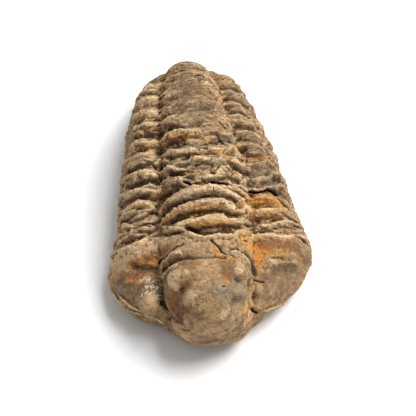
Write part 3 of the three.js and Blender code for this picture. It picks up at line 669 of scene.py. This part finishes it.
PALE = {
    "left rib 5, cream": ([(148, 175), (153, 177), (157, 179)], 0.8, 1.0),
    "left rib 4, whitish": ([(125, 195), (129, 198)], 0.8, 1.0),
    "left rib 3, whitish": ([(122, 217), (127, 213), (131, 211)], 0.9, 0.8),
    "head, corner": ([(116, 254), (124, 256), (132, 254), (142, 250)], 1.3, 0.45),
    "rear lobe, cream": ([(171, 279), (173, 284), (177, 287)], 0.8, 1.5),
    "rear lobe, speck": ([(186, 270), (188, 274)], 0.5, 0.8),
    "middle lobe": ([(186, 293), (192, 291), (196, 295)], 0.8, 0.55),
    "right lobe, whitish": ([(238, 271), (240, 273)], 0.8, 1.1),
    "scratches": ([(222, 318), (226, 312), (230, 308)], 0.5, 0.8),
    "scratches, second": ([(219, 316), (223, 311)], 0.4, 0.7),
    "right furrow, crystal": ([(253, 275), (254, 274)], 0.5, 1.4),
    "right cheek, whitish": ([(273, 262), (275, 264)], 0.8, 0.9),
    "right cheek, white dot": ([(294, 262), (296, 262)], 0.6, 1.0),
}
BROWN = {
    "worn axis": ([(186, 92), (194, 94), (202, 92)], 1.8, 0.35),
    "worn axis, dark spots": ([(203, 109), (208, 108), (213, 107)], 0.8, 0.9),
    "worn axis, dark arc": ([(194, 122), (200, 122)], 1.0, 0.6),
    "worn axis, ring line": ([(172, 98), (180, 95), (188, 98)], 0.5, 0.5),
    "worn axis, ring line, lower": ([(200, 94), (206, 97), (212, 99)], 0.4, 0.7),
    "head, rear, wedge": ([(163, 234), (163, 240), (164, 245)], 0.9, 0.55),
    "left cheek, dark": ([(134, 265), (142, 268), (150, 268), (157, 270), (156, 280), (157, 290)], 1.2, 0.8),
    "left cheek": ([(120, 282), (128, 284), (136, 287)], 0.8, 0.6),
    "crystals, ground": ([(143, 286), (150, 289), (157, 284), (150, 280)], 1.6, 0.55),
    "left hollow, dark": ([(177, 316), (179, 321), (182, 314)], 1.0, 0.8),
    "left hollow, dark arc": ([(182, 308), (188, 308), (194, 307)], 0.8, 0.6),
    "glabella, dark": ([(233, 300), (238, 299), (243, 297)], 1.1, 0.6),
    "right lobe, shade": ([(232, 276), (238, 279), (244, 282)], 0.8, 0.6),
    # Painted shade: darker along the snout's underside.
    "snout, dark": ([(200, 343), (208, 342), (216, 340)], 1.0, 0.7),
    "right cheek, valley": ([(272, 270), (280, 268), (288, 266), (296, 268)], 1.2, 0.45),
    "right cheek, speckle": ([(276, 292), (282, 288), (288, 286)], 1.6, 0.4),
}
# Painted shade: black in the deepest furrows.
BLACK_SHADE = {
    "left cheek, black": ([(138, 266), (145, 267), (152, 267)], 0.6, 0.5),
    "left cheek, black, inner": ([(156, 276), (157, 281), (156, 287), (158, 292)], 0.7, 0.4),
    "right furrow, black": ([(252, 262), (254, 268), (255, 272)], 0.6, 0.5),
}
CRYSTALS = {
    "upper": ([(141, 280), (147, 277), (150, 282)], 0.8, 0.9),
    "middle": ([(148, 287), (153, 286), (157, 289)], 0.8, 0.9),
    "lower": ([(141, 295), (147, 293), (152, 294), (158, 297)], 0.7, 0.9),
}
STAINS = {
    "wash": WASHES, "film": FILMS, "grey": GREY, "ochre": OCHRE, "orange": ORANGE, "rust": RUST,
    "pale": PALE, "brown": BROWN, "black_shade": BLACK_SHADE, "crystal": CRYSTALS,
}
for stain, patches in STAINS.items():
    for pixels, width, amount in patches.values():
        paint_along(stain, pixels, width * MM, amount)

# Where the finish lays dirt and painted shade, and wear and a painted highlight: how far each point
# lies below or above its surroundings, near by and further off. The sides' shaping is left out of that.
facing = spread(read("normal"), 2)
worked = points - sides_lift[:, None] * outwards
levelled = worked.copy()
depths = {}
for name, more_times in {"fine": 6, "middle": 24, "wide": 100}.items():
    levelled = spread(levelled, more_times)
    depths[name] = ((levelled - worked) * facing).sum(1) / MM

# Kept on each point, as numbers from 0 to 1 that the finish reads. Iron shows on the front rings.
IRON_STARTS, IRON_HEIGHTS = (180, 215), (10 * MM, 14 * MM)
kept = {
    # Sunk points get dirt and painted shade, raised points get wear and a painted highlight.
    "pore": steps(depths["fine"], 0.0, 0.09),
    "edge": steps(-depths["fine"], 0.01, 0.09),
    "furrow": steps(depths["middle"], 0.02, 0.40),
    "worn_and_highlit": steps(-depths["middle"], 0.0, 0.30),
    "valley": steps(depths["wide"], 0.0, 0.9),
    # Painted shade: the faces of the rings that turn to the front, away from the light, are darkened.
    "flank": steps(-facing[:, 1], 0.35, 0.85) * on_rings,
    "iron": on_rings * steps(on_picture[:, 1], *IRON_STARTS) * steps(start[:, 2], *IRON_HEIGHTS),
    "layered": on_rings,
    "glabella": glabella,
    **stains,
}
for name, values in kept.items():
    attribute = stone.data.attributes.new(name, "FLOAT", "POINT")
    attribute.data.foreach_set("value", np.clip(values, 0, 1).astype(np.float32))

# The even faces are more than the form needs, so flat stretches are thinned out.
MOST_TRIANGLES = 196_000
thinning = stone.modifiers.new("thinning", "DECIMATE")
thinning.ratio = MOST_TRIANGLES / (2 * len(stone.data.polygons))
thinning.use_collapse_triangulate = True
bpy.ops.object.modifier_apply(modifier=thinning.name)
bpy.ops.object.shade_smooth()


class Pattern:
    """A number that changes over the surface, so that a finish can be written as sums"""

    def __init__(self, finish, socket):
        self.finish, self.socket = finish, socket

    def maths(self, operation, first, second):
        return self.finish.node("ShaderNodeMath", {"operation": operation}, {0: first, 1: second})

    def __add__(self, other):
        return self.maths("ADD", self, other)

    def __sub__(self, other):
        return self.maths("SUBTRACT", self, other)

    def __rsub__(self, other):
        return self.maths("SUBTRACT", other, self)

    def __mul__(self, other):
        return self.maths("MULTIPLY", self, other)

    __radd__, __rmul__ = __add__, __mul__

    def between(self, low, high):
        """0 below low, 1 above high, and smooth between them"""
        limits = {"Value": self, "From Min": low, "From Max": high}
        return self.finish.node("ShaderNodeMapRange", {"interpolation_type": "SMOOTHSTEP"}, limits)


class Finish:
    """A material, built up from its nodes"""

    def __init__(self, name):
        self.material = bpy.data.materials.new(name)
        self.material.use_nodes = True
        self.tree = self.material.node_tree
        self.surface = self.tree.nodes["Principled BSDF"]
        self.colour = None

    def node(self, kind, settings, sockets, output=0):
        made = self.tree.nodes.new(kind)
        for name, value in settings.items():
            setattr(made, name, value)
        self.connect(made, sockets)
        return Pattern(self, made.outputs[output])

    def connect(self, made, sockets):
        for name, value in sockets.items():
            if isinstance(value, Pattern):
                self.tree.links.new(value.socket, made.inputs[name])
            else:
                made.inputs[name].default_value = value

    def place(self, stretch=(1, 1, 1), seed=0):
        """The place on the piece in millimetres, stretched and shifted"""
        where = self.node("ShaderNodeTexCoord", {}, {}, output="Object")
        settings = {"vector_type": "POINT"}
        return self.node("ShaderNodeMapping", settings, {
            "Vector": where, "Location": (7.1 * seed, 3.3 * seed, 5.9 * seed),
            "Scale": tuple(1000 * s for s in stretch)})

    def clouds(self, size, detail=4, roughness=0.55, stretch=(1, 1, 1), seed=0):
        return self.node("ShaderNodeTexNoise", {}, {
            "Vector": self.place(stretch, seed), "Scale": 1 / size, "Detail": detail,
            "Roughness": roughness})

    def stored(self, name):
        return self.node("ShaderNodeAttribute", {"attribute_name": name}, {}, output="Fac")

    def lay(self, shade, amount):
        """Lays a shade over the colour so far, by an amount from 0 to 1"""
        self.colour = self.node("ShaderNodeMix", {"data_type": "RGBA"}, {
            0: amount, 6: self.colour, 7: light_of(shade)}, output=2)


def light_of(shade):
    """A shade as a screen has it, from 0 to 255, turned to amounts of light"""
    return tuple(((part / 255 + 0.055) / 1.055) ** 2.4 for part in shade) + (1,)


# The stone's finish: tan limestone with clouds of grey and rust, the painted stains, pale where
# it stands up, as wear and a painted highlight, and dirt and painted shade in the furrows and
# pores. The sizes are in millimetres. On the rings the speckle is drawn out sideways, along the layers.
rock = Finish("weathered limestone")
tone = rock.clouds(5.0, detail=5, seed=1)
grain = rock.clouds(0.9, detail=5, roughness=0.7, seed=2)
speck = rock.clouds(0.55, detail=4, roughness=0.65, seed=3)
blotch = rock.clouds(1.6, detail=5, roughness=0.65, seed=6)
sand = rock.clouds(0.42, detail=2, roughness=0.5, seed=9)
grit = rock.clouds(0.3, detail=2, roughness=0.5, seed=15)
iron = rock.clouds(0.6, detail=3, roughness=0.6, seed=10)
streaks = rock.clouds(0.6, detail=5, roughness=0.7, stretch=(0.35, 1.3, 1.1), seed=8)
mottle = rock.clouds(1.3, detail=8, roughness=0.8, seed=16)
layered = rock.stored("layered")
pepper = mottle + (streaks - mottle) * layered
patchy = rock.clouds(3.0, detail=4, seed=17).between(0.42, 0.6) * 0.4 + 0.6
peppered = (1 - rock.stored("glabella") * 0.1) * patchy


def lay_stain(name, shade, solid=1.0, rough=1.0):
    """A stain laid over the stone, thick where it was painted and broken up by the grain"""
    laid = rock.stored(name) + (blotch - 0.5) * rough * 1.2 + (streaks - 0.5) * rough
    rock.lay(shade, laid.between(0.12, 0.9) * solid)


rock.colour = light_of((132, 101, 67))
rock.lay((172, 138, 97), tone.between(0.38, 0.62))
rock.lay((128, 111, 86), rock.clouds(6.5, detail=6, roughness=0.6, seed=4).between(0.48, 0.62) * 0.6)
rock.lay((172, 118, 60), rock.clouds(3.5, detail=6, roughness=0.65, seed=5).between(0.53, 0.68) * 0.6)
for seed, shade in {11: (122, 112, 94), 12: (140, 92, 46), 13: (204, 176, 138), 14: (98, 74, 50)}.items():
    patches = rock.clouds(2.4, detail=7, roughness=0.7, stretch=(0.45, 1.3, 1.1), seed=seed)
    rock.lay(shade, patches.between(0.52, 0.58) * layered * 0.7)
rock.lay((204, 172, 132), rock.stored("wash") * 0.75)
rock.lay((220, 188, 142), pepper.between(0.48, 0.38) * peppered * 0.65)
lay_stain("grey", (136, 124, 102), 0.85)
lay_stain("ochre", (208, 160, 80), 0.85, rough=-1.0)
lay_stain("orange", (200, 134, 46), 0.95, rough=-1.5)
lay_stain("rust", (132, 80, 40), 0.85)

# Paler where the stone stands up, as wear and a painted highlight; then dirt and painted shade in the
# valleys, in furrows and in pores, and painted shade on the rings' front flanks
rock.lay((206, 173, 130), (rock.stored("worn_and_highlit") * 0.8 + (pepper - 0.5)).between(0.25, 0.95) * 0.6)
# Pale: cream spots, and wear and a painted highlight along the ridges.
lay_stain("pale", (222, 190, 148), 0.85)
rock.lay((96, 70, 44), (rock.stored("valley") + (pepper - 0.5) * 0.9).between(0.25, 0.95) * 0.5)
# Painted shade on the rings' front flanks.
rock.lay((104, 74, 44), (rock.stored("flank") + (blotch - 0.5) * 1.2).between(0.2, 1.0) * 0.5)
# Brown: stains, and the painted shade of the furrows.
lay_stain("brown", (72, 51, 31), 0.9, rough=1.1)
rock.lay((50, 37, 26), (rock.stored("furrow") + (pepper - 0.5) * 0.8).between(0.3, 0.95) * 0.8)
rock.lay((40, 30, 22), (rock.stored("pore") * 0.9 + (mottle - 0.5) * 1.2).between(0.35, 0.95) * 0.8)
# Small raised points paler: wear and a painted highlight.
rock.lay((222, 190, 146), rock.stored("edge") * (1.25 - speck) * peppered * 0.28)
rock.lay((84, 62, 42), pepper.between(0.49, 0.60) * peppered * 0.8)
rock.lay((60, 42, 27), grit.between(0.55, 0.66) * 0.5)
rock.lay((86, 68, 48), rock.stored("film") * 0.6)

# Crystals, grains of iron in the front rings' furrows, and the black of the cracks and deep furrows, which
# is painted shade
crystal = rock.stored("crystal")
rock.lay((226, 208, 180), (crystal + (sand - 0.5) * 5.0).between(0.7, 1.0) * crystal * 0.9)
iron_grains = (rock.stored("valley") + iron * 3.0).between(2.25, 2.55)
rock.lay((198, 140, 52), iron_grains * rock.stored("iron") * 0.7)
lay_stain("black_shade", (24, 17, 12), 1.0, rough=0.3)

normal = rock.node("ShaderNodeBump", {}, {
    "Strength": 1.0, "Distance": 0.5 * MM, "Height": grain * 0.5 + speck * 0.3 + sand * 0.5})
rock.connect(rock.surface, {
    "Base Color": rock.colour, "Roughness": 0.72 + speck * 0.25, "Normal": normal,
    "IOR": 1.45, "Specular IOR Level": 0.35})
stone.data.materials.clear()
stone.data.materials.append(rock.material)

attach(stone, "root")
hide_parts("trilobite")

# The table and the light: a plain pale sheet, a broad soft light high at the back right, and a
# bright white room around them. Metres and watts.
TABLE_SIZE = 3
WINDOW_PLACE = Vector((0.36, 0.06, 0.61))
WINDOW_SIZE, WINDOW_POWER = 0.5, 7.4
ROOM_LIGHT = 0.49

bpy.ops.mesh.primitive_plane_add(size=TABLE_SIZE)
table = bpy.context.object
table.name = "table"
paper = Finish("pale paper")
paper.connect(paper.surface, {"Base Color": (0.9, 0.9, 0.9, 1), "Roughness": 0.9})
table.data.materials.append(paper.material)

window_turn = WINDOW_PLACE.to_track_quat("Z", "Y").to_euler()
bpy.ops.object.light_add(type="AREA", location=WINDOW_PLACE, rotation=window_turn)
window = bpy.context.object
window.name = "window"
window.data.size = WINDOW_SIZE
window.data.energy = WINDOW_POWER
room = bpy.data.worlds.new("room")
room.use_nodes = True
room.node_tree.nodes["Background"].inputs["Color"].default_value = (1, 1, 1, 1)
room.node_tree.nodes["Background"].inputs["Strength"].default_value = ROOM_LIGHT
bpy.context.scene.world = room
bpy.context.scene.view_settings.view_transform = "Standard"
